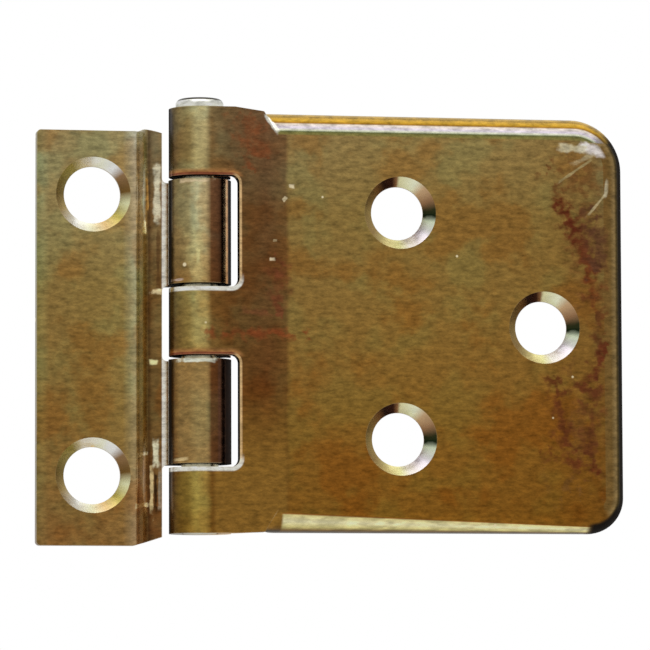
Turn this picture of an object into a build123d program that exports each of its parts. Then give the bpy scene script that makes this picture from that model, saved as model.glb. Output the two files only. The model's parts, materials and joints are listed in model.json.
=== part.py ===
from build123d import *
import os
from math import cos, radians, sin

# Cabinet offset hinge, in millimetres. The pin stands along Z, the door leaf reaches
# to +X and the front faces -Y. The origin is the centre of the frame leaf's two screw
# holes, on the back face that lies against the cabinet.

# Sheet and barrel
sheet = 1.5
pin_radius = 2.25
running_clearance = 0.05
head_overhang = 0.5
foot_overhang = 0.15
knuckle_end_gap = 0.45
roll_sweep = 300

# Frame leaf
offset_height = 9.5
leaf_height = 50.8
leaf_drop = 1.3
holes_rise = 0.35
frame_edge_to_holes = 6.95
holes_to_pin = 11.9
frame_hole_to_end = 8.2
crank_start_to_pin = 7.45
crank_angle = 85
crank_inner_radius = 1.0
shoulder_to_pin = 4.25
frame_corner_radius = 0.5
tab_root_radius = 0.6
snip_height = 0.85
snip_length = 2.6

# Door leaf
rim_depth = 3.4
pan_bend_radius = 2.8
pan_height = 50.8
pan_head_corner_radius = 6.4
pan_foot_corner_radius = 4.4
pin_to_pan = 7.3
pin_to_far_edge = 52.2
rim_end_slope = 1.6
rim_start_length = 1.7

# Windows for the frame leaf's knuckles
window_inner = 4.1
window_outer = 17.6
window_reach = 4.25
window_corner_radius = 1.0

# Countersunk screw holes
frame_hole_radius = 3.5
door_hole_radius = 3.25
frame_countersink_radius = 4.6
door_countersink_radius = 4.4
door_countersink_shift = 0.2
countersink_angle = 90
pin_to_pair = 23.85
pair_spacing = 27.5
door_hole_drop = 0.4
pin_to_outer_hole = 41.7

# Pin ends
head_radius = 2.9
head_edge = 1.15
head_rise = 1.4
head_rounding = 0.7
foot_chamfer = 0.3

# Places that follow from the sizes
barrel_length = pan_height + head_overhang + foot_overhang
frame_hole_spacing = leaf_height - 2 * frame_hole_to_end
knuckle_radius = pin_radius + sheet
frame_bore = pin_radius + running_clearance
frame_knuckle_radius = frame_bore + sheet
pin_x = holes_to_pin
plate_front = -(offset_height + rim_depth)
plate_back = plate_front + sheet
pin_y = plate_front + knuckle_radius
pin_axis = Axis((pin_x, pin_y, 0), (0, 0, 1))
roll_centre = Vector(pin_x, pin_y)
frame_roll_ratio = frame_bore / frame_knuckle_radius
door_roll_ratio = pin_radius / knuckle_radius
leaf_middle = -holes_rise
barrel_middle = leaf_middle + leaf_drop
pan_bottom = barrel_middle - pan_height / 2
pan_top = barrel_middle + pan_height / 2
barrel_bottom = pan_bottom - foot_overhang
barrel_top = pan_top + head_overhang
window_height = window_outer - window_inner
window_middle = (window_outer + window_inner) / 2
frame_knuckle_length = window_height - 2 * knuckle_end_gap
past_all = 2 * (offset_height + rim_depth)

# Frame leaf: flat plate, crank forward to the back of the barrel, two rolled knuckles.
# The outline runs out along the back face and home along the front face.
crank_rise = -(pin_y + frame_knuckle_radius)
crank_outer_radius = crank_inner_radius + sheet
bends_rise = (crank_inner_radius + crank_outer_radius) * (1 - cos(radians(crank_angle)))
crank_run = (crank_rise - bends_rise) / sin(radians(crank_angle))

with BuildPart() as frame_leaf:
    with BuildSketch(Plane.XY.offset(leaf_middle - leaf_height / 2)):
        with BuildLine():
            plate_line = Line((-frame_edge_to_holes, 0), (pin_x - crank_start_to_pin, 0))
            first_bend = JernArc(plate_line @ 1, plate_line % 1, crank_outer_radius, -crank_angle)
            crank_end = first_bend @ 1 + crank_run * (first_bend % 1)
            crank_line = Line(first_bend @ 1, crank_end)
            second_bend = JernArc(crank_line @ 1, crank_line % 1, crank_inner_radius, crank_angle)
            tab_line = Line(second_bend @ 1, (pin_x, pin_y + frame_knuckle_radius))
            roll = JernArc(tab_line @ 1, tab_line % 1, frame_knuckle_radius, -roll_sweep)
            roll_end = Line(roll @ 1, roll_centre + (roll @ 1 - roll_centre) * frame_roll_ratio)
            bore = JernArc(roll_end @ 1, roll % 1 * -1, frame_bore, roll_sweep)
            tab_front = Line(bore @ 1, second_bend @ 1 - (0, sheet))
            second_front = JernArc(tab_front @ 1, tab_front % 1, crank_outer_radius, -crank_angle)
            front_end = second_front @ 1 + crank_run * (second_front % 1)
            crank_front = Line(second_front @ 1, front_end)
            first_front = JernArc(crank_front @ 1, crank_front % 1, crank_inner_radius, crank_angle)
            plate_front_line = Line(first_front @ 1, (-frame_edge_to_holes, -sheet))
            Line(plate_front_line @ 1, plate_line @ 0)
        make_face()
    extrude(amount=leaf_height)
    trim_width = shoulder_to_pin + frame_knuckle_radius + sheet
    trim_middle = pin_x - shoulder_to_pin + trim_width / 2
    with BuildSketch(Plane.XZ.offset(past_all)) as trim:
        with Locations((trim_middle, barrel_middle)):
            Rectangle(trim_width, 2 * leaf_height)
            with GridLocations(0, 2 * window_middle, 1, 2):
                Rectangle(trim_width, frame_knuckle_length, mode=Mode.SUBTRACT)
        tab_roots = trim.vertices().group_by(Axis.X)[0].sort_by(Axis.Y)[1:-1]
        fillet(tab_roots, tab_root_radius)
        for side in (-1, 1):
            leaf_end = leaf_middle + side * leaf_height / 2
            with BuildLine():
                Polyline(
                    (pin_x - shoulder_to_pin - snip_length, leaf_end),
                    (pin_x - shoulder_to_pin, leaf_end),
                    (pin_x - shoulder_to_pin, leaf_end - side * snip_height),
                    close=True,
                )
            make_face()
    extrude(amount=-2 * past_all, mode=Mode.SUBTRACT)
    plate_corners = frame_leaf.edges().filter_by(Axis.Y).group_by(Axis.X)[0]
    fillet(plate_corners, frame_corner_radius)
    with Locations(Plane.XZ.offset(sheet)):
        with GridLocations(0, frame_hole_spacing, 1, 2):
            CounterSinkHole(frame_hole_radius, frame_countersink_radius, sheet, countersink_angle)

# Door leaf: three rolled knuckles round the pin, then a plain stretch and a drawn pan
with BuildPart() as door_leaf:
    pan_length = pin_to_far_edge - pin_to_pan
    with BuildSketch(Plane.XZ.offset(-plate_front)) as pan_outline:
        with Locations((pin_x + pin_to_pan + pan_length / 2, barrel_middle)):
            Rectangle(pan_length, pan_height)
        foot_corner = pan_outline.vertices().group_by(Axis.Y)[0].sort_by(Axis.X)[-1]
        fillet(foot_corner, pan_foot_corner_radius)
        head_corner = pan_outline.vertices().group_by(Axis.Y)[-1].sort_by(Axis.X)[-1]
        fillet(head_corner, pan_head_corner_radius)
    extrude(amount=-rim_depth)
    front_face = door_leaf.faces().sort_by(Axis.Y)[0]
    pan_left = pin_x + pin_to_pan
    drawn_edges = front_face.edges().filter_by(lambda edge: edge.center().X > pan_left + sheet)
    fillet(drawn_edges, pan_bend_radius)
    open_faces = [door_leaf.faces().sort_by(Axis.Y)[-1], door_leaf.faces().sort_by(Axis.X)[0]]
    offset(amount=-sheet, openings=open_faces)
    rim_ends = door_leaf.edges().filter_by(Axis.Z).group_by(Axis.X)[0].group_by(Axis.Y)[-1]
    chamfer(rim_ends, rim_end_slope)
    with BuildSketch(Plane.XY.offset(barrel_bottom)):
        with BuildLine():
            front_line = Line((pan_left, plate_front), (pin_x, plate_front))
            roll = JernArc(front_line @ 1, front_line % 1, knuckle_radius, -roll_sweep)
            roll_end = Line(roll @ 1, roll_centre + (roll @ 1 - roll_centre) * door_roll_ratio)
            bore = JernArc(roll_end @ 1, roll % 1 * -1, pin_radius, roll_sweep)
            back_line = Line(bore @ 1, (pan_left, plate_back))
            Line(back_line @ 1, front_line @ 0)
        make_face()
    extrude(amount=barrel_length)
    # The plain stretch slopes down to the pan, and the rim starts along a slant on each side
    with BuildSketch(Plane.XZ.offset(past_all)):
        for barrel_end, pan_end in ((barrel_bottom, pan_bottom), (barrel_top, pan_top)):
            with BuildLine():
                Polyline(
                    (pin_x + knuckle_radius, barrel_end),
                    (pan_left, barrel_end),
                    (pan_left, pan_end),
                    close=True,
                )
            make_face()
    extrude(amount=-2 * past_all, mode=Mode.SUBTRACT)
    with BuildSketch(Plane.XZ.offset(-plate_front)):
        for pan_end, side in ((pan_bottom, 1), (pan_top, -1)):
            with BuildLine():
                Polyline(
                    (pan_left, pan_end),
                    (pan_left, pan_end + side * pan_bend_radius),
                    (pan_left + rim_start_length, pan_end + side * pan_bend_radius),
                    close=True,
                )
            make_face()
    extrude(amount=-sheet)
    window_width = knuckle_radius + window_reach + sheet
    with BuildSketch(Plane.XZ.offset(past_all)):
        window_x = pin_x + window_reach - window_width / 2
        with Locations((window_x, barrel_middle)):
            with GridLocations(0, 2 * window_middle, 1, 2):
                windows = Rectangle(window_width, window_height)
        fillet(windows.vertices().group_by(Axis.X)[-1], window_corner_radius)
    extrude(amount=-2 * past_all, mode=Mode.SUBTRACT)
    pair_x = pin_x + pin_to_pair
    outer_x = pin_x + pin_to_outer_hole
    hole_row = barrel_middle - door_hole_drop
    hole_places = [
        (pair_x, hole_row + pair_spacing / 2),
        (pair_x, hole_row - pair_spacing / 2),
        (outer_x, hole_row),
    ]
    with Locations(Plane.XZ.offset(-plate_front)):
        with Locations(hole_places):
            Hole(door_hole_radius, sheet)
    # The countersinks are punched a little off the holes, so their wide side faces the rim
    with BuildSketch(Plane.XZ.offset(-plate_front)):
        with Locations([(x + door_countersink_shift, z) for x, z in hole_places]):
            Circle(door_countersink_radius)
    extrude(amount=-2 * sheet, taper=countersink_angle / 2, mode=Mode.SUBTRACT)

# Hinge pin: straight shank with a chamfered foot and a low domed head on the barrel
with BuildPart() as hinge_pin:
    with BuildSketch(Plane.XZ.offset(-pin_y)):
        with BuildLine():
            foot_flat = Line((pin_x, barrel_bottom), (pin_x + pin_radius - foot_chamfer, barrel_bottom))
            foot_slope = Line(foot_flat @ 1, (pin_x + pin_radius, barrel_bottom + foot_chamfer))
            shank = Line(foot_slope @ 1, (pin_x + pin_radius, barrel_top))
            seat = Line(shank @ 1, (pin_x + head_radius, barrel_top))
            rim = Line(seat @ 1, (pin_x + head_radius, barrel_top + head_edge))
            crown = TangentArc((pin_x, barrel_top + head_rise), rim @ 1, tangent=(1, 0))
            Line(crown @ 0, foot_flat @ 0)
        profile = make_face()
        fillet(profile.vertices().sort_by_distance(rim @ 1)[0], head_rounding)
    revolve(axis=pin_axis)

frame_leaf.part.label = "frame_leaf"
door_leaf.part.label = "door_leaf"
hinge_pin.part.label = "hinge_pin"

os.makedirs("parts", exist_ok=True)
for piece in (frame_leaf, door_leaf, hinge_pin):
    export_step(piece.part, f"parts/{piece.part.label}.step")
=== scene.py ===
import bmesh
import bpy
import json
import math
from mathutils import Matrix, Vector


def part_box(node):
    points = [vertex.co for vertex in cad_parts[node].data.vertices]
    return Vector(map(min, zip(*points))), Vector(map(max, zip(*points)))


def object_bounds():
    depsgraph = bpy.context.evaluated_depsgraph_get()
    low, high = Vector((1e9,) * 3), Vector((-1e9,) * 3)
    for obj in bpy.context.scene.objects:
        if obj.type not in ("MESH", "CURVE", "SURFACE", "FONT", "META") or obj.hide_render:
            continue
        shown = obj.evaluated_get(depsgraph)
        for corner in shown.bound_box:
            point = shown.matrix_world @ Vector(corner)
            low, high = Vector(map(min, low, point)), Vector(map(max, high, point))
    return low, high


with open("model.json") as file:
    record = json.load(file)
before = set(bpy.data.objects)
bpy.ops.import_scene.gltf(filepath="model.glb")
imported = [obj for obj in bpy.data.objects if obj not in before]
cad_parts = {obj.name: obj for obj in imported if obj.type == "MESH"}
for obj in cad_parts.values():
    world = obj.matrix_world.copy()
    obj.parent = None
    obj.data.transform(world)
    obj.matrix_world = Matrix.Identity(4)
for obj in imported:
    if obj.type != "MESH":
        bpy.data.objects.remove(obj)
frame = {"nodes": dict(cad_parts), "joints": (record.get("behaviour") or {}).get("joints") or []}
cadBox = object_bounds()
print("frame loaded")

mm = 0.001

# The barrel along X, its middle height and its top, in millimetres
pinX, _, barrelMiddle = [value / mm for value in frame["joints"][0]["pos_m"]]
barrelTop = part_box("door_leaf")[1][2] / mm

# The camera stands a little to the left of the hinge and below it
view = {
    "aim": (0.025, -0.007, 0.0),
    "distance": 0.5645,
    "lens": 256.7,
    "elevation": -4.67,
    "azimuth": 10.64,
    "roll": -0.17,
    "shiftX": 0.0337,
    "shiftY": 0.0125,
    "nearest": 0.01,
}

studio = {
    "worldLevel": 0.65,
    "floorDrop": 0.16,
    "floorSize": 4.0,
    "floorColour": (0.8, 0.8, 0.78, 1),
    "floorRoughness": 0.9,
    "white": (1, 1, 1, 1),
    "topPower": 1.4,
    "topSize": 0.8,
    "topDirection": (0.0, -0.35, 1.0),
    "lampDistance": 0.5,
}


def asLinear(value):
    part = value / 255
    return part / 12.92 if part <= 0.04045 else ((part + 0.055) / 1.055) ** 2.4


def metal(colour):
    # The base colour a piece of metal needs to look like this under the studio's light
    shades = [min(1.0, asLinear(value) / studio["worldLevel"]) for value in colour]
    return (*shades, 1)


def newTree(owner):
    owner.use_nodes = True
    tree = owner.node_tree
    tree.nodes.clear()
    return tree


def feed(tree, node, place, value):
    # Links a socket, or sets a plain value
    if isinstance(value, bpy.types.NodeSocket):
        tree.links.new(value, node.inputs[place])
    else:
        node.inputs[place].default_value = value


def addNode(tree, kind, values=None, **settings):
    node = tree.nodes.new(kind)
    for name, value in settings.items():
        setattr(node, name, value)
    for name, value in (values or {}).items():
        feed(tree, node, name, value)
    return node


def calc(tree, operation, first, second=0.0, third=0.0):
    node = addNode(tree, "ShaderNodeMath", operation=operation)
    for place, value in enumerate((first, second, third)):
        if place < len(node.inputs):
            feed(tree, node, place, value)
    return node.outputs[0]


def vectorCalc(tree, operation, first, second):
    node = addNode(tree, "ShaderNodeVectorMath", operation=operation)
    feed(tree, node, 0, first)
    feed(tree, node, 1, second)
    return node.outputs["Value" if operation == "DOT_PRODUCT" else "Vector"]


def scaled(tree, vector, factor):
    node = addNode(tree, "ShaderNodeVectorMath", operation="SCALE")
    feed(tree, node, 0, vector)
    feed(tree, node, "Scale", factor)
    return node.outputs[0]


def blendColour(tree, mask, first, second, how="MIX"):
    # A Mix node takes its colours at sockets 6 and 7, and gives the colour at 2
    node = addNode(tree, "ShaderNodeMix", data_type="RGBA", blend_type=how)
    feed(tree, node, 0, mask)
    feed(tree, node, 6, first)
    feed(tree, node, 7, second)
    return node.outputs[2]


def spread(tree, value, low, high, outLow=0.0, outHigh=1.0, soft=True):
    node = addNode(
        tree, "ShaderNodeMapRange",
        {"Value": value, "From Min": low, "From Max": high, "To Min": outLow, "To Max": outHigh},
        interpolation_type="SMOOTHSTEP" if soft else "LINEAR",
    )
    return node.outputs["Result"]


def allOf(tree, *masks):
    product = masks[0]
    for mask in masks[1:]:
        product = calc(tree, "MULTIPLY", product, mask)
    return product


def anyOf(tree, *masks):
    most = masks[0]
    for mask in masks[1:]:
        most = calc(tree, "MAXIMUM", most, mask)
    return most


def within(tree, where, fades):
    # A fade is the name of a value, how large it is where the fade is 0, and where it is 1
    return allOf(tree, *(spread(tree, where[name], start, end) for name, start, end in fades))


def colourBands(tree, value, stops):
    # Stops are (value, seen colour), from the lowest value up
    low, high = stops[0][0], stops[-1][0]
    node = addNode(tree, "ShaderNodeValToRGB", {"Fac": spread(tree, value, low, high, soft=False)})
    elements = node.color_ramp.elements
    elements[0].color = metal(stops[0][1])
    elements[1].color = metal(stops[-1][1])
    for place, colour in stops[1:-1]:
        elements.new((place - low) / (high - low)).color = metal(colour)
    return node.outputs["Color"]


def newGroup(name, inputs, outputs):
    group = bpy.data.node_groups.new(name, "ShaderNodeTree")
    for socketName, kind, value in inputs:
        socket = group.interface.new_socket(socketName, in_out="INPUT", socket_type=kind)
        if value is not None:
            socket.default_value = value
    for socketName, kind in outputs:
        group.interface.new_socket(socketName, in_out="OUTPUT", socket_type=kind)
    start = group.nodes.new("NodeGroupInput")
    end = group.nodes.new("NodeGroupOutput")
    return group, start.outputs, end.inputs


def useGroup(tree, group, values):
    node = tree.nodes.new("ShaderNodeGroup")
    node.node_tree = group
    for name, value in values.items():
        feed(tree, node, name, value)
    return node.outputs


def makeWhereGroup():
    # Place in millimetres and the way the metal faces, both in the piece's own space.
    # Height is the distance from the barrel's middle, up or down. Tilt is 0 where the metal
    # faces straight forward or back, and Share is 1 where a tilted face turns up, -1 down.
    numbers = ("X", "Y", "Z", "WavyX", "Height", "FaceX", "FaceY", "FaceZ", "Tilt", "Share")
    group, start, end = newGroup(
        "placeAndFacing",
        [("Wave", "NodeSocketFloat", 0.4)],
        [
            ("Metres", "NodeSocketVector"),
            ("Place", "NodeSocketVector"),
            *((name, "NodeSocketFloat") for name in numbers),
        ],
    )
    source = addNode(group, "ShaderNodeTexCoord").outputs
    place = scaled(group, source["Object"], 1 / mm)
    parts = addNode(group, "ShaderNodeSeparateXYZ", {"Vector": place}).outputs
    faces = addNode(group, "ShaderNodeSeparateXYZ", {"Vector": source["Normal"]}).outputs
    wave = addNode(
        group, "ShaderNodeTexNoise", {"Vector": source["Object"], "Scale": 160.0, "Detail": 3.0}
    )
    shift = calc(group, "MULTIPLY", calc(group, "SUBTRACT", wave.outputs["Fac"], 0.5), start["Wave"])
    squares = calc(group, "MULTIPLY", faces["X"], faces["X"])
    tilt = calc(group, "SQRT", calc(group, "MULTIPLY_ADD", faces["Z"], faces["Z"], squares))
    group.links.new(source["Object"], end["Metres"])
    group.links.new(place, end["Place"])
    for axis in "XYZ":
        group.links.new(parts[axis], end[axis])
        group.links.new(faces[axis], end["Face" + axis])
    group.links.new(calc(group, "ADD", parts["X"], shift), end["WavyX"])
    fromMiddle = calc(group, "SUBTRACT", parts["Z"], barrelMiddle)
    group.links.new(calc(group, "ABSOLUTE", fromMiddle), end["Height"])
    group.links.new(tilt, end["Tilt"])
    leastTilt = calc(group, "MAXIMUM", tilt, 0.02)
    group.links.new(calc(group, "DIVIDE", faces["Z"], leastTilt), end["Share"])
    return group


def makeStainGroup():
    # Patches where the lacquer has turned olive or red-brown, as factors of the metal's colour
    group, start, end = newGroup(
        "agedPatches",
        [
            ("Vector", "NodeSocketVector", None),
            ("Size", "NodeSocketFloat", 150.0),
            ("Olive", "NodeSocketColor", (0.95, 1.08, 1.14, 1)),
            ("Red", "NodeSocketColor", (0.98, 0.82, 0.7, 1)),
        ],
        [("Factor", "NodeSocketColor")],
    )
    moved = vectorCalc(group, "ADD", start["Vector"], (0.31, 0.17, 0.23))
    factor = (1, 1, 1, 1)
    for name, vector, low, high in (("Olive", start["Vector"], 0.47, 0.6), ("Red", moved, 0.49, 0.62)):
        patches = addNode(
            group, "ShaderNodeTexNoise", {"Vector": vector, "Scale": start["Size"], "Detail": 7.0}
        )
        mask = spread(group, patches.outputs["Fac"], low, high)
        factor = blendColour(group, mask, factor, start[name])
    group.links.new(factor, end["Factor"])
    return group


def makeGrainGroup():
    # Fine broken lines left by rolling and polishing
    group, start, end = newGroup(
        "polishingGrain",
        [
            ("Vector", "NodeSocketVector", None),
            ("Stretch", "NodeSocketVector", (1.0, 1.0, 2.4)),
            ("Size", "NodeSocketFloat", 700.0),
        ],
        [("Lines", "NodeSocketFloat")],
    )
    stretched = vectorCalc(group, "MULTIPLY", start["Vector"], start["Stretch"])
    lines = addNode(
        group, "ShaderNodeTexNoise",
        {"Vector": stretched, "Scale": start["Size"], "Detail": 5.0, "Roughness": 0.7},
    )
    group.links.new(lines.outputs["Fac"], end["Lines"])
    return group


def makeSpeckGroup():
    # Small pale nicks through the lacquer
    group, start, end = newGroup(
        "paleSpecks",
        [
            ("Vector", "NodeSocketVector", None),
            ("Size", "NodeSocketFloat", 420.0),
            ("Share", "NodeSocketFloat", 0.07),
            ("Radius", "NodeSocketFloat", 0.16),
        ],
        [("Mask", "NodeSocketFloat")],
    )
    cells = addNode(group, "ShaderNodeTexVoronoi", {"Vector": start["Vector"], "Scale": start["Size"]})
    split = addNode(group, "ShaderNodeSeparateColor", {"Color": cells.outputs["Color"]})
    chosen = calc(group, "LESS_THAN", split.outputs["Red"], start["Share"])
    size = calc(group, "MULTIPLY", split.outputs["Green"], start["Radius"])
    inside = calc(group, "SUBTRACT", size, cells.outputs["Distance"])
    group.links.new(allOf(group, spread(group, inside, 0.0, 0.06), chosen), end["Mask"])
    return group


def makeEdgeGroup():
    # Worn, brightly rubbed metal along the sheet's edges, which also stands in for painted edge highlights
    group, start, end = newGroup(
        "rubbedAndLitEdges",
        [
            ("Vector", "NodeSocketVector", None),
            ("Radius", "NodeSocketFloat", 0.00022),
            ("Low", "NodeSocketFloat", 0.01),
            ("High", "NodeSocketFloat", 0.14),
        ],
        [("Mask", "NodeSocketFloat")],
    )
    rounded = addNode(group, "ShaderNodeBevel", {"Radius": start["Radius"]}, samples=6)
    flat = addNode(group, "ShaderNodeNewGeometry")
    same = vectorCalc(group, "DOT_PRODUCT", rounded.outputs["Normal"], flat.outputs["Normal"])
    turned = spread(group, calc(group, "SUBTRACT", 1.0, same), start["Low"], start["High"])
    breakUp = addNode(group, "ShaderNodeTexNoise", {"Vector": start["Vector"], "Scale": 500.0, "Detail": 3.0})
    group.links.new(allOf(group, turned, spread(group, breakUp.outputs["Fac"], 0.3, 0.6)), end["Mask"])
    return group


def makeStrokeGroup():
    # One soft broken stroke, for scratches and stains and for painted highlights and painted shade lines:
    # centre, direction and sizes in millimetres. It fades out from
    # Core to SideEnd times its width, and from TipStart to TipEnd times its reach.
    group, start, end = newGroup(
        "softStroke",
        [
            ("Place", "NodeSocketVector", None),
            ("Centre", "NodeSocketVector", (0, 0, 0)),
            ("Direction", "NodeSocketVector", (1, 0, 0)),
            ("Reach", "NodeSocketFloat", 2.0),
            ("Width", "NodeSocketFloat", 0.2),
            ("Core", "NodeSocketFloat", 0.5),
            ("Ragged", "NodeSocketFloat", 0.4),
            ("SideEnd", "NodeSocketFloat", 1.3),
            ("TipStart", "NodeSocketFloat", 0.6),
            ("TipEnd", "NodeSocketFloat", 1.2),
        ],
        [("Mask", "NodeSocketFloat")],
    )
    away = vectorCalc(group, "SUBTRACT", start["Place"], start["Centre"])
    along = calc(group, "ABSOLUTE", vectorCalc(group, "DOT_PRODUCT", away, start["Direction"]))
    crossed = vectorCalc(group, "CROSS_PRODUCT", away, start["Direction"])
    crossedParts = addNode(group, "ShaderNodeSeparateXYZ", {"Vector": crossed})
    across = calc(group, "ABSOLUTE", crossedParts.outputs["Y"])
    breakUp = addNode(group, "ShaderNodeTexNoise", {"Vector": start["Place"], "Scale": 0.9, "Detail": 5.0})
    side = calc(group, "DIVIDE", across, start["Width"])
    length = calc(group, "DIVIDE", along, start["Reach"])
    swing = spread(group, breakUp.outputs["Fac"], 0.3, 0.7, -1.0, 1.0, soft=False)
    rough = calc(group, "MULTIPLY", swing, start["Ragged"])
    sideMask = spread(group, calc(group, "ADD", side, rough), start["SideEnd"], start["Core"])
    lengthMask = spread(group, calc(group, "ADD", length, rough), start["TipEnd"], start["TipStart"])
    group.links.new(allOf(group, sideMask, lengthMask), end["Mask"])
    return group


def makeWindowGroup():
    # Distance outside a rounded window in the plate, rise from its middle, and how far past
    # the start of its right corners, all in millimetres
    group, start, end = newGroup(
        "windowSurround",
        [
            ("X", "NodeSocketFloat", 0.0),
            ("Z", "NodeSocketFloat", 0.0),
            ("Right", "NodeSocketFloat", 16.0),
            ("Middle", "NodeSocketFloat", 11.0),
            ("Half", "NodeSocketFloat", 6.7),
            ("Corner", "NodeSocketFloat", 1.0),
        ],
        [
            ("Distance", "NodeSocketFloat"),
            ("Rise", "NodeSocketFloat"),
            ("Past", "NodeSocketFloat"),
        ],
    )
    rise = calc(group, "SUBTRACT", start["Z"], start["Middle"])
    pastEnd = calc(group, "SUBTRACT", calc(group, "ABSOLUTE", rise), start["Half"])
    upward = calc(group, "ADD", pastEnd, start["Corner"])
    rightward = calc(group, "ADD", calc(group, "SUBTRACT", start["X"], start["Right"]), start["Corner"])
    upPart = calc(group, "MAXIMUM", upward, 0.0)
    rightPart = calc(group, "MAXIMUM", rightward, 0.0)
    squares = calc(group, "MULTIPLY_ADD", upPart, upPart, calc(group, "MULTIPLY", rightPart, rightPart))
    inner = calc(group, "MINIMUM", calc(group, "MAXIMUM", upward, rightward), 0.0)
    outside = calc(group, "ADD", calc(group, "SQRT", squares), inner)
    group.links.new(calc(group, "SUBTRACT", outside, start["Corner"]), end["Distance"])
    group.links.new(rise, end["Rise"])
    group.links.new(rightward, end["Past"])
    return group


whereGroup = makeWhereGroup()
stainGroup = makeStainGroup()
grainGroup = makeGrainGroup()
speckGroup = makeSpeckGroup()
edgeGroup = makeEdgeGroup()
strokeGroup = makeStrokeGroup()
windowGroup = makeWindowGroup()
print("finish groups made")

# What the three finishes share. Colours are as seen, from 0 to 255.
finish = {
    "noiseRange": (0.3, 0.7),
    "grainDepth": 0.45,
    "glossRange": (0.8, 1.3),
    "bumpStrength": 0.12,
    "bumpDistance": 0.00004,
    "specular": 0.1,
    # Painted shade: a near-black, dull colour that stands in for shadow
    "paintedShadeMetal": -0.9,
    "paintedShadeRoughness": 0.6,
    "sinkCalm": 0.7,
    "specks": (214, 196, 160),
    "edgeWearAndHighlight": (196, 176, 136),
    "paintedShadeColour": (16, 11, 7),
    "back": (132, 104, 58),
    "backArea": [("FaceY", 0.1, 0.5)],
    # The knuckles' cut ends in the gaps get painted shadow
    "gapEnds": (0.6, 0.9),
    "gapArea": [("Height", 19.5, 19.0), ("X", 7.6, 7.9), ("X", 17.0, 16.8)],
}
front = ("FaceY", 0.3, 0.1)
sinkSlope = [("Tilt", 0.6, 0.66), ("Tilt", 0.82, 0.76), ("FaceY", -0.5, -0.6)]
outward = [("Share", 0.85, 0.6), ("Share", -0.85, -0.6)]
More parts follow.
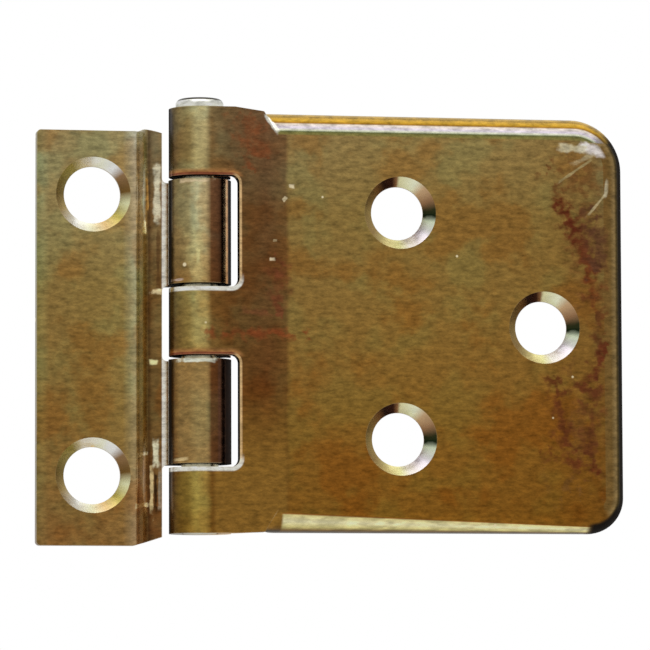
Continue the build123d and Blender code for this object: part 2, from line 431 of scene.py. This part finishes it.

# Bands go along X from the barrel to the rim, with a painted highlight and painted shade on the barrel,
# height tones along Z, rims by their tilt and countersinks round the clock in radians, rims and countersinks
# in painted reflections and painted shade. Areas are lists of fades.
doorLook = {
    "bands": [
        (8.0, (18, 12, 8)),
        (8.22, (44, 31, 16)),
        (8.4, (84, 64, 32)),
        (8.8, (104, 82, 42)),
        (10.0, (128, 108, 58)),
        (10.9, (158, 144, 88)),
        (12.0, (156, 140, 86)),
        (12.7, (108, 82, 42)),
        (15.0, (96, 68, 34)),
        (19.5, (94, 62, 32)),
        (21.8, (102, 72, 37)),
        (22.3, (126, 97, 48)),
        (36.0, (128, 98, 46)),
        (50.0, (126, 95, 44)),
        (56.0, (123, 91, 41)),
        (59.8, (118, 87, 40)),
        (61.5, (114, 86, 44)),
    ],
    "wave": 0.9,
    "heightTones": [
        (-24.0, (118, 78, 26)),
        (-12.0, (124, 86, 34)),
        (2.0, (128, 97, 48)),
        (14.0, (128, 103, 56)),
        (24.0, (136, 113, 70)),
    ],
    "middleTone": (128, 97, 48),
    # Countersinks: painted highlights and painted shade round the clock
    "sinkColours": [
        (-3.142, (138, 116, 64)),
        (-2.7, (126, 96, 50)),
        (-2.35, (96, 62, 30)),
        (-2.1, (34, 16, 8)),
        (-1.8, (44, 22, 12)),
        (-1.66, (122, 86, 54)),
        (-1.58, (196, 192, 150)),
        (-1.1, (206, 208, 184)),
        (-0.8, (176, 146, 112)),
        (-0.4, (138, 104, 74)),
        (-0.12, (40, 44, 24)),
        (0.1, (24, 34, 18)),
        (0.26, (196, 206, 178)),
        (0.7, (208, 200, 206)),
        (1.3, (208, 200, 196)),
        (1.6, (208, 204, 150)),
        (2.1, (196, 184, 126)),
        (2.5, (150, 126, 78)),
        (3.142, (138, 116, 64)),
    ],
    # Rims by tilt: painted reflections and painted shade
    "topRim": [
        (0.0, (130, 108, 60)),
        (0.1, (120, 112, 62)),
        (0.17, (84, 88, 50)),
        (0.24, (158, 160, 138)),
        (0.34, (158, 150, 160)),
        (0.5, (168, 158, 146)),
        (0.56, (112, 78, 22)),
        (0.66, (150, 116, 34)),
        (0.84, (166, 132, 54)),
        (0.92, (196, 162, 76)),
        (0.985, (186, 156, 86)),
        (0.995, (140, 112, 62)),
        (1.0, (132, 104, 58)),
    ],
    "footRim": [
        (0.0, (120, 84, 32)),
        (0.06, (134, 82, 30)),
        (0.14, (200, 188, 132)),
        (0.45, (210, 202, 160)),
        (0.72, (196, 184, 122)),
        (0.86, (112, 84, 40)),
        (1.0, (46, 30, 14)),
    ],
    "footTaper": {"from": (21.5, 0.18), "to": (59.5, 0.7)},
    "sideRim": [
        (0.0, (110, 82, 41)),
        (0.3, (104, 80, 42)),
        (0.46, (120, 98, 60)),
        (0.52, (122, 100, 62)),
        (0.62, (66, 53, 22)),
        (0.74, (34, 26, 6)),
        (0.955, (40, 32, 8)),
        (0.985, (112, 88, 48)),
        (1.0, (124, 98, 54)),
    ],
    "cutFoot": [
        (8.0, (70, 60, 34)),
        (12.0, (130, 114, 66)),
        (13.0, (204, 160, 78)),
        (17.0, (198, 152, 72)),
        (18.5, (60, 46, 20)),
        (21.5, (52, 38, 18)),
    ],
    "stains": [
        {"from": (58.6, 17.0), "to": (60.4, 6.0), "width": 3.4, "amount": 0.8, "colour": (104, 70, 36)},
        {"from": (58.4, -8.0), "to": (58.0, -14.6), "width": 3.2, "amount": 0.7, "colour": (104, 70, 34)},
        {"from": (54.8, 18.3), "to": (57.0, 13.6), "width": 1.1, "amount": 0.8, "colour": (92, 44, 22)},
        {"from": (57.0, 13.6), "to": (59.2, 8.6), "width": 1.4, "amount": 0.95, "colour": (86, 38, 22)},
        {"from": (59.2, 8.6), "to": (60.3, 2.0), "width": 1.1, "amount": 0.8, "colour": (104, 52, 24)},
        {"from": (60.3, 2.0), "to": (60.8, -3.4), "width": 1.0, "amount": 0.8, "colour": (88, 56, 30)},
        {"from": (60.8, -3.4), "to": (57.9, -7.2), "width": 1.2, "amount": 0.9, "colour": (90, 42, 24)},
        {"from": (55.4, -7.8), "to": (56.3, -12.8), "width": 1.2, "amount": 0.85, "colour": (90, 46, 24)},
        {"from": (59.9, -7.6), "to": (59.2, -14.0), "width": 1.3, "amount": 0.85, "colour": (88, 46, 26)},
        {"from": (55.5, -14.8), "to": (58.2, -16.4), "width": 1.3, "amount": 0.9, "colour": (92, 46, 22)},
        {"from": (60.4, 13.0), "to": (60.4, 9.8), "width": 1.8, "amount": 0.9, "colour": (84, 54, 36)},
        {"from": (17.0, 25.2), "to": (17.6, 22.9), "width": 2.2, "amount": 0.8, "colour": (112, 62, 34)},
        {"from": (20.9, 6.8), "to": (20.9, 3.6), "width": 1.4, "amount": 0.8, "colour": (104, 56, 34)},
        {"from": (13.4, -0.5), "to": (21.6, -0.6), "width": 0.8, "amount": 0.7, "colour": (122, 58, 30)},
        {"from": (16.2, 2.0), "to": (20.0, 1.8), "width": 0.45, "amount": 0.6, "colour": (114, 68, 42)},
    ],
    "scratches": [
        {"from": (56.0, 18.6), "to": (59.8, 21.2), "width": 0.16, "amount": 0.75, "colour": (158, 142, 100)},
        {"from": (57.6, 20.6), "to": (60.9, 22.4), "width": 0.35, "amount": 0.6, "colour": (168, 154, 120)},
        {"from": (58.6, 22.9), "to": (61.6, 22.2), "width": 0.75, "amount": 0.9, "colour": (204, 196, 192)},
        {"from": (56.4, 22.6), "to": (59.0, 22.5), "width": 0.5, "amount": 0.7, "colour": (190, 182, 150)},
        {"from": (59.4, 14.4), "to": (61.9, 17.4), "width": 0.16, "amount": 0.75, "colour": (170, 154, 116)},
        {"from": (61.5, 16.6), "to": (61.9, 18.6), "width": 0.3, "amount": 0.7, "colour": (176, 168, 140)},
        {"from": (22.4, 17.3), "to": (22.6, 17.3), "width": 0.25, "amount": 0.9, "colour": (208, 192, 156)},
        {"from": (21.6, 15.7), "to": (21.7, 15.8), "width": 0.22, "amount": 0.9, "colour": (200, 184, 148)},
        {"from": (20.0, 8.4), "to": (20.3, 8.4), "width": 0.22, "amount": 0.9, "colour": (208, 190, 156)},
        {"from": (20.4, 10.7), "to": (20.6, 10.7), "width": 0.14, "amount": 0.7, "colour": (176, 156, 118)},
    ],
    "stainEdge": {"Core": -0.5, "Ragged": 0.8},
    # A pale painted highlight where the top rim starts
    "rimStart": {"from": (19.4, 26.0), "to": (20.7, 24.2), "width": 0.3, "colour": (206, 204, 192)},
    "lightFoot": (122, 88, 36),
    # Painted shade in the rim's lower corner
    "corner": (26, 18, 8),
    # Painted glints along the foot rim
    "paintedGlint": {"stretch": (0.35, 1.0, 1.0), "size": 1300.0, "noise": (0.38, 0.62), "glint": (0.72, 1.12)},
    "footEdge": (0.0, 0.04),
    "footCalm": 0.5,
    "window": {"reach": 4.25, "rise": 10.85, "half": 6.75, "corner": 1.0},
    # Painted highlights and painted shade round the windows' edges
    "windowRings": [
        {"fades": [("Distance", 0.95, 0.3), ("Rise", 6.4, 6.8)], "colour": (150, 104, 60)},
        {"fades": [("Distance", 0.36, 0.22)], "colour": (118, 66, 44)},
        {"fades": [("Distance", 0.36, 0.22), ("Past", 0.0, 0.9)], "colour": (186, 154, 108)},
        {"fades": [("Distance", 0.62, 0.4), ("Rise", -5.0, -6.8)], "colour": (208, 205, 194)},
    ],
    "areas": {
        "front": [front],
        "flat": [("Tilt", 0.3, 0.1), ("FaceY", -0.7, -0.9)],
        "lightFoot": [("WavyX", 12.6, 13.4), ("WavyX", 22.4, 21.6), ("Z", -6.0, -17.0)],
        "topRim": [("Z", 23.2, 23.4), ("X", 19.4, 19.6), ("Share", 0.5, 0.8), ("Tilt", 0.03, 0.08), front],
        "footRim": [("Z", -21.4, -21.6), ("X", 21.2, 21.6), ("Share", -0.5, -0.8), front],
        "footRimEnd": [("X", 60.0, 59.0)],
        "sideRim": [("X", 60.9, 61.2), ("Tilt", 0.03, 0.08), *outward, front],
        "corner": [("X", 59.0, 60.2), ("Z", -20.6, -22.0), ("Tilt", 0.5, 0.7), front],
        "sinks": [*sinkSlope, ("X", 30.0, 31.0), ("X", 59.6, 59.0), ("Z", 21.0, 20.5), ("Z", -21.0, -20.5)],
        "cutFoot": [("FaceZ", -0.8, -0.95), ("Z", -22.0, -22.6), ("X", 21.6, 21.2)],
        # Areas of painted shade: the windows' walls, a band down the barrel's flank and the side rim
        "windowWall": [("FaceX", -0.5, -0.8), ("X", 15.6, 15.9), ("X", 17.0, 16.6), ("Height", 18.6, 18.0)],
        "barrelFlank": [("X", 8.25, 8.17)],
        "darkRim": [("X", 60.9, 61.2), ("Tilt", 0.66, 0.78), ("Tilt", 0.985, 0.955), *outward, front],
    },
    # How strongly each area gets painted shade
    "paintedShade": {"windowWall": 1.0, "barrelFlank": 0.7, "darkRim": 0.85, "corner": 0.8},
    "roughness": 0.24,
    "edgeWearAndHighlights": 0.35,
}

# Bands go along X from the left edge over the crank to the knuckles, with painted highlights on the crank's
# bend and the knuckles and painted shade on the knuckles' flanks
frameLook = {
    "bands": [
        (-7.0, (116, 104, 54)),
        (-6.3, (128, 110, 60)),
        (-5.4, (127, 101, 52)),
        (0.0, (126, 102, 52)),
        (3.6, (134, 110, 58)),
        (4.5, (140, 124, 80)),
        (5.2, (156, 140, 98)),
        (5.6, (150, 132, 88)),
        (5.9, (120, 96, 50)),
        (6.15, (70, 48, 22)),
        (6.5, (100, 76, 40)),
        (6.9, (106, 82, 44)),
        (7.5, (110, 82, 42)),
        (8.25, (20, 12, 6)),
        (8.6, (112, 86, 44)),
        (10.0, (134, 108, 60)),
        (11.0, (162, 146, 94)),
        (12.0, (158, 140, 90)),
        (12.7, (92, 62, 34)),
        (13.5, (82, 54, 30)),
        (14.2, (40, 24, 14)),
        (14.42, (206, 170, 118)),
        (14.88, (186, 144, 92)),
        (15.02, (30, 20, 12)),
        (15.5, (34, 23, 14)),
        (15.7, (70, 50, 30)),
    ],
    "wave": 0.12,
    "heightTones": [
        (-24.0, (122, 88, 44)),
        (-10.0, (124, 96, 47)),
        (6.0, (128, 103, 54)),
        (16.0, (136, 117, 72)),
        (26.0, (138, 120, 78)),
    ],
    "middleTone": (126, 100, 50),
    # Countersinks: painted highlights and painted shade round the clock
    "sinkColours": [
        (-3.142, (118, 100, 54)),
        (-2.2, (150, 140, 92)),
        (-1.9, (232, 226, 224)),
        (-1.3, (222, 222, 194)),
        (-0.9, (234, 212, 220)),
        (-0.6, (128, 100, 70)),
        (-0.1, (110, 82, 40)),
        (0.25, (226, 212, 168)),
        (0.7, (186, 172, 92)),
        (1.2, (206, 176, 126)),
        (1.6, (222, 206, 176)),
        (2.1, (228, 218, 204)),
        (2.7, (170, 150, 100)),
        (3.142, (118, 100, 54)),
    ],
    # A pale painted reflection on the tab, flatter painted shading on the lower knuckle and painted shade on
    # its flank
    "patches": {
        "tabReflection": {"colour": (208, 202, 190), "amount": 1.0},
        "lowerKnuckle": {"colour": (134, 107, 63), "amount": 0.7},
        "lowerFlankShade": {"colour": (80, 52, 36), "amount": 1.0},
    },
    # Strokes of painted highlights and painted shade lines along the crank and the knuckles' ends, partly
    # pale worn edges
    "paintedLightMarks": [
        {"from": (7.05, 19.9), "to": (7.1, 13.6), "width": 0.42, "amount": 0.85, "colour": (200, 192, 164)},
        {"from": (6.02, 18.8), "to": (6.02, 14.8), "width": 0.14, "amount": 0.8, "colour": (182, 136, 68)},
        {"from": (5.75, 13.6), "to": (5.75, 12.3), "width": 0.14, "amount": 0.95, "colour": (208, 196, 158)},
        {"from": (7.2, 12.4), "to": (7.2, 5.8), "width": 0.2, "amount": 0.7, "colour": (78, 52, 28)},
        {"from": (6.7, 4.85), "to": (7.3, 4.85), "width": 0.3, "amount": 0.95, "colour": (208, 188, 144)},
        {"from": (6.6, -3.75), "to": (6.9, -3.75), "width": 0.35, "amount": 0.95, "colour": (206, 198, 144)},
        {"from": (6.9, -13.6), "to": (6.9, -16.1), "width": 0.34, "amount": 0.95, "colour": (206, 200, 168)},
        {"from": (6.5, -16.8), "to": (6.45, -21.8), "width": 0.2, "amount": 0.9, "colour": (190, 168, 120)},
        {"from": (6.9, -16.9), "to": (6.9, -21.6), "width": 0.18, "amount": 0.9, "colour": (44, 28, 14)},
        {"from": (7.35, -16.9), "to": (7.35, -21.4), "width": 0.18, "amount": 0.7, "colour": (146, 134, 112)},
        {"from": (5.6, -14.75), "to": (5.9, -14.75), "width": 0.25, "amount": 0.9, "colour": (206, 190, 154)},
        {"from": (5.5, -20.95), "to": (5.8, -20.95), "width": 0.25, "amount": 0.8, "colour": (196, 180, 140)},
        {"from": (8.9, -3.85), "to": (13.0, -3.85), "width": 0.26, "amount": 0.9, "colour": (204, 206, 188)},
        {"from": (8.5, -15.8), "to": (9.8, -15.7), "width": 0.2, "amount": 0.6, "colour": (206, 184, 136)},
        {"from": (9.2, 17.8), "to": (12.4, 17.85), "width": 0.22, "amount": 0.6, "colour": (198, 176, 142)},
        {"from": (8.5, 5.9), "to": (9.3, 5.9), "width": 0.16, "amount": 0.5, "colour": (206, 184, 172)},
        {"from": (11.1, 9.3), "to": (11.1, 7.9), "width": 0.22, "amount": 0.8, "colour": (204, 194, 136)},
        {"from": (10.7, 10.6), "to": (10.9, 6.8), "width": 0.9, "amount": 0.4, "colour": (182, 168, 112)},
    ],
    "areas": {
        "paintedLightMarks": [("FaceY", 0.06, -0.02)],
        "sinks": [*sinkSlope, ("X", 4.8, 4.7)],
        "tabReflection": [("X", 7.55, 7.7), ("X", 8.36, 8.28), ("Y", -9.1, -8.9), ("FaceY", 0.5, 0.2)],
        "lowerKnuckle": [("Z", 0.5, -0.5), ("X", 8.5, 9.2), ("X", 12.6, 11.8)],
        "lowerFlankShade": [("Z", 0.5, -0.5), ("X", 13.4, 13.7), ("FaceY", 0.3, 0.0)],
        # The gaps beside the knuckles get painted shadow
        "rightGap": [("X", 15.0, 15.12), ("FaceY", 0.1, -0.1)],
        "lowerRightGap": [("Z", 0.5, -0.5), ("X", 14.45, 14.6), ("FaceY", 0.1, -0.1)],
        "leftGap": [("X", 8.0, 8.1), ("X", 8.3, 8.2), ("Y", -9.0, -9.3)],
    },
    "paintedShade": {"rightGap": 0.75, "lowerRightGap": 0.85, "leftGap": 0.85},
    "roughness": 0.24,
    "edgeWearAndHighlights": 0.35,
}

# The pin's colours go by height above the barrel's top, in millimetres: a pale painted reflection on the
# head's side, then a dark band of painted shade and dirt under the dome's edge
pinLook = {
    "wave": 0.0,
    "heights": [
        (0.0, (170, 164, 138)),
        (0.25, (196, 196, 184)),
        (0.9, (206, 206, 198)),
        (1.0, (54, 50, 38)),
        (1.3, (40, 36, 26)),
        (1.36, (138, 116, 72)),
        (1.4, (152, 130, 86)),
    ],
    "areas": {},
    "roughness": 0.22,
    "edgeWearAndHighlights": 0.2,
}


def stroke(tree, where, line, edge=None):
    # Mask of one soft ragged stroke between two (x, z) places
    first, last = (Vector((x, 0, z)) for x, z in (line["from"], line["to"]))
    values = {
        "Place": where["Place"],
        "Centre": (first + last) / 2,
        "Direction": (last - first).normalized(),
        "Reach": (last - first).length / 2 + line["width"],
        "Width": line["width"],
        **(edge or {}),
    }
    return useGroup(tree, strokeGroup, values)["Mask"]


def addStrokes(tree, where, colour, lines, area, edge=None):
    for line in lines:
        mask = allOf(tree, stroke(tree, where, line, edge), area, line["amount"])
        colour = blendColour(tree, mask, colour, metal(line["colour"]))
    return colour


def addSinks(tree, where, colour, area, stops):
    # Painted highlights and painted shade round the slope of each countersink
    clock = calc(tree, "ARCTAN2", where["FaceZ"], calc(tree, "MULTIPLY", where["FaceX"], -1.0))
    return blendColour(tree, area, colour, colourBands(tree, clock, stops))


def findPaintedShade(tree, where, look, areas):
    # Painted shadow on the cut ends of the knuckles and windows, and painted shade where the look has more
    ends = spread(tree, calc(tree, "ABSOLUTE", where["FaceZ"]), *finish["gapEnds"])
    gaps = allOf(tree, ends, within(tree, where, finish["gapArea"]))
    more = [allOf(tree, areas[name], amount) for name, amount in look["paintedShade"].items()]
    return anyOf(tree, gaps, *more)


def startBrass(name, look):
    material = bpy.data.materials.new(name)
    tree = newTree(material)
    where = useGroup(tree, whereGroup, {"Wave": look["wave"]})
    areas = {area: within(tree, where, fades) for area, fades in look["areas"].items()}
    return material, tree, where, areas


def makeSheet(tree, look, where):
    # Bands along X with their painted highlights and shade, toned by height and stained, with a plain brass
    # back
    bands = colourBands(tree, where["WavyX"], look["bands"])
    tones = colourBands(tree, where["Z"], look["heightTones"])
    toned = blendColour(tree, 1.0, bands, tones, "MULTIPLY")
    evened = blendColour(tree, 1.0, toned, metal(look["middleTone"]), "DIVIDE")
    stains = useGroup(tree, stainGroup, {"Vector": where["Metres"]})["Factor"]
    stained = blendColour(tree, 1.0, evened, stains, "MULTIPLY")
    back = blendColour(tree, 1.0, metal(finish["back"]), stains, "MULTIPLY")
    return blendColour(tree, within(tree, where, finish["backArea"]), stained, back)


def finishBrass(tree, colour, where, look, paintedShade=0.0, calm=0.0):
    # Grain, specks, worn edges that also stand in for edge highlights, and painted shade over the colour.
    # Calm takes the grain back.
    lines = useGroup(tree, grainGroup, {"Vector": where["Metres"]})["Lines"]
    specks = useGroup(tree, speckGroup, {"Vector": where["Metres"]})["Mask"]
    rubbedAndLit = useGroup(tree, edgeGroup, {"Vector": where["Metres"]})["Mask"]
    depth = finish["grainDepth"]
    swing = spread(tree, lines, *finish["noiseRange"], -depth, depth, soft=False)
    calmed = calc(tree, "MULTIPLY", swing, calc(tree, "SUBTRACT", 1.0, calm))
    shaded = scaled(tree, colour, calc(tree, "ADD", calmed, 1.0))
    withSpecks = blendColour(tree, specks, shaded, metal(finish["specks"]))
    wearAndSheen = calc(tree, "MULTIPLY", rubbedAndLit, look["edgeWearAndHighlights"])
    withEdges = blendColour(tree, wearAndSheen, withSpecks, metal(finish["edgeWearAndHighlight"]))
    smooth, rough = (look["roughness"] * factor for factor in finish["glossRange"])
    gloss = spread(tree, lines, *finish["noiseRange"], smooth, rough, soft=False)
    bump = addNode(
        tree, "ShaderNodeBump",
        {"Height": lines, "Strength": finish["bumpStrength"], "Distance": finish["bumpDistance"]},
    )
    shader = addNode(
        tree, "ShaderNodeBsdfPrincipled",
        {
            "Base Color": blendColour(tree, paintedShade, withEdges, metal(finish["paintedShadeColour"])),
            "Metallic": calc(tree, "MULTIPLY_ADD", paintedShade, finish["paintedShadeMetal"], 1.0),
            "Roughness": calc(tree, "MULTIPLY_ADD", paintedShade, finish["paintedShadeRoughness"], gloss),
            "Normal": bump.outputs["Normal"],
            "Specular IOR Level": finish["specular"],
        },
    )
    addNode(tree, "ShaderNodeOutputMaterial", {"Surface": shader.outputs["BSDF"]})


def makeDoorBrass():
    look = doorLook
    material, tree, where, areas = startBrass("doorLeafBrass", look)
    colour = makeSheet(tree, look, where)
    colour = blendColour(tree, areas["lightFoot"], colour, metal(look["lightFoot"]))

    # Drawn rim: painted dark reflection along the side, a painted glinting reflection tapered at the foot,
    # painted shade in the lower corner, painted bright reflections over the top
    colour = blendColour(tree, areas["sideRim"], colour, colourBands(tree, where["Tilt"], look["sideRim"]))
    footX, footTilt = zip(look["footTaper"]["from"], look["footTaper"]["to"])
    taper = spread(tree, where["X"], *footX, *footTilt, soft=False)
    pastTaper = calc(tree, "SUBTRACT", where["Tilt"], taper)
    footTurn = calc(tree, "DIVIDE", pastTaper, calc(tree, "SUBTRACT", 1.0, taper))
    paintedGlint = look["paintedGlint"]
    drawnOut = vectorCalc(tree, "MULTIPLY", where["Metres"], paintedGlint["stretch"])
    glintNoise = addNode(
        tree, "ShaderNodeTexNoise", {"Vector": drawnOut, "Scale": paintedGlint["size"], "Detail": 2.0}
    )
    glint = spread(tree, glintNoise.outputs["Fac"], *paintedGlint["noise"], *paintedGlint["glint"], soft=False)
    footColour = scaled(tree, colourBands(tree, footTurn, look["footRim"]), glint)
    onFoot = allOf(tree, areas["footRim"], spread(tree, footTurn, *look["footEdge"]))
    colour = blendColour(tree, allOf(tree, onFoot, areas["footRimEnd"]), colour, footColour)
    colour = blendColour(tree, areas["corner"], colour, metal(look["corner"]))
    colour = blendColour(tree, areas["topRim"], colour, colourBands(tree, where["Tilt"], look["topRim"]))

    # Countersinks with painted highlights and shade, dark red stains, pale scratches, a painted highlight at
    # the start of the rim and the cut foot
    colour = addSinks(tree, where, colour, areas["sinks"], look["sinkColours"])
    colour = addStrokes(tree, where, colour, look["stains"], areas["flat"], look["stainEdge"])
    colour = addStrokes(tree, where, colour, look["scratches"], areas["flat"])
    rimStart = allOf(tree, stroke(tree, where, look["rimStart"]), areas["front"])
    colour = blendColour(tree, rimStart, colour, metal(look["rimStart"]["colour"]))
    colour = blendColour(tree, areas["cutFoot"], colour, colourBands(tree, where["X"], look["cutFoot"]))

    # The windows' edges: painted brown shade above, red-brown all round, a golden painted reflection at the
    # side, a white painted highlight below
    window = look["window"]
    for side in (-1, 1):
        values = {
            "X": where["X"],
            "Z": where["Z"],
            "Right": pinX + window["reach"],
            "Middle": barrelMiddle + side * window["rise"],
            "Half": window["half"],
            "Corner": window["corner"],
        }
        surround = useGroup(tree, windowGroup, values)
        for ring in look["windowRings"]:
            mask = allOf(tree, within(tree, surround, ring["fades"]), areas["front"])
            colour = blendColour(tree, mask, colour, metal(ring["colour"]))

    sinkCalm = allOf(tree, areas["sinks"], finish["sinkCalm"])
    calm = anyOf(tree, sinkCalm, allOf(tree, onFoot, look["footCalm"]))
    finishBrass(tree, colour, where, look, findPaintedShade(tree, where, look, areas), calm)
    return material


def makeFrameBrass():
    look = frameLook
    material, tree, where, areas = startBrass("frameLeafBrass", look)
    colour = makeSheet(tree, look, where)
    colour = addSinks(tree, where, colour, areas["sinks"], look["sinkColours"])
    # Painted reflection on the tab, painted shading on the lower knuckle and its flank
    for name, patch in look["patches"].items():
        mask = allOf(tree, areas[name], patch["amount"])
        colour = blendColour(tree, mask, colour, metal(patch["colour"]))
    # Painted highlights and shade lines, partly worn edges
    colour = addStrokes(tree, where, colour, look["paintedLightMarks"], areas["paintedLightMarks"])
    calm = allOf(tree, areas["sinks"], finish["sinkCalm"])
    finishBrass(tree, colour, where, look, findPaintedShade(tree, where, look, areas), calm)
    return material


def makePinBrass():
    look = pinLook
    material, tree, where, _ = startBrass("pinBrass", look)
    aboveBarrel = calc(tree, "SUBTRACT", where["Z"], barrelTop)
    finishBrass(tree, colourBands(tree, aboveBarrel, look["heights"]), where, look)
    return material


def dress(node, material):
    piece = frame["nodes"][node]
    for slot in piece.material_slots:
        slot.material = material
    if not piece.material_slots:
        piece.data.materials.append(material)


dress("door_leaf", makeDoorBrass())
dress("frame_leaf", makeFrameBrass())
dress("hinge_pin", makePinBrass())
print("brass placed")


def addObject(name, data):
    added = bpy.data.objects.new(name, data)
    bpy.context.scene.collection.objects.link(added)
    return added


def aimed(place, target):
    # Stands at the place and looks at the target
    turn = (target - place).to_track_quat("-Z", "Y").to_matrix().to_4x4()
    return Matrix.Translation(place) @ turn


def forCamera(tree, shader, seen):
    # The camera sees the second shader, and all other rays meet the first
    rays = addNode(tree, "ShaderNodeLightPath")
    choice = addNode(tree, "ShaderNodeMixShader", {"Fac": rays.outputs["Is Camera Ray"]})
    feed(tree, choice, 1, shader.outputs[0])
    feed(tree, choice, 2, seen.outputs[0])
    return choice.outputs[0]


def makeFloor():
    mesh = bpy.data.meshes.new("floor")
    shape = bmesh.new()
    ground = Matrix.Translation((0, 0, cadBox[0][2] - studio["floorDrop"]))
    bmesh.ops.create_grid(shape, x_segments=1, y_segments=1, size=studio["floorSize"] / 2, matrix=ground)
    shape.to_mesh(mesh)
    shape.free()
    floor = addObject("floor", mesh)
    material = bpy.data.materials.new("paleFloor")
    tree = newTree(material)
    matt = addNode(
        tree, "ShaderNodeBsdfPrincipled",
        {"Base Color": studio["floorColour"], "Roughness": studio["floorRoughness"]},
    )
    glow = addNode(tree, "ShaderNodeEmission", {"Color": studio["white"], "Strength": 1.0})
    addNode(tree, "ShaderNodeOutputMaterial", {"Surface": forCamera(tree, matt, glow)})
    mesh.materials.append(material)


def makeWorld():
    world = bpy.data.worlds.new("softRoom")
    bpy.context.scene.world = world
    tree = newTree(world)
    soft, bright = (
        addNode(tree, "ShaderNodeBackground", {"Color": studio["white"], "Strength": level})
        for level in (studio["worldLevel"], 1.0)
    )
    addNode(tree, "ShaderNodeOutputWorld", {"Surface": forCamera(tree, soft, bright)})


def addLamp(name, direction, power, size, target):
    data = bpy.data.lights.new(name, "AREA")
    data.energy = power
    data.size = size
    place = target + Vector(direction).normalized() * studio["lampDistance"]
    addObject(name, data).matrix_world = aimed(place, target)


def makeCamera(target):
    data = bpy.data.cameras.new("camera")
    data.lens = view["lens"]
    data.shift_x = view["shiftX"]
    data.shift_y = view["shiftY"]
    data.clip_start = view["nearest"]
    camera = addObject("camera", data)
    up = math.radians(view["elevation"])
    around = math.radians(view["azimuth"])
    outwards = Vector((-math.sin(around) * math.cos(up), -math.cos(around) * math.cos(up), math.sin(up)))
    roll = Matrix.Rotation(math.radians(view["roll"]), 4, "Z")
    camera.matrix_world = aimed(target + outwards * view["distance"], target) @ roll
    bpy.context.scene.camera = camera


middle = (Vector(cadBox[0]) + Vector(cadBox[1])) / 2
makeFloor()
makeWorld()
addLamp("topLamp", studio["topDirection"], studio["topPower"], studio["topSize"], middle)
makeCamera(Vector(view["aim"]))

bpy.context.scene.view_settings.view_transform = "Standard"
print("studio set")
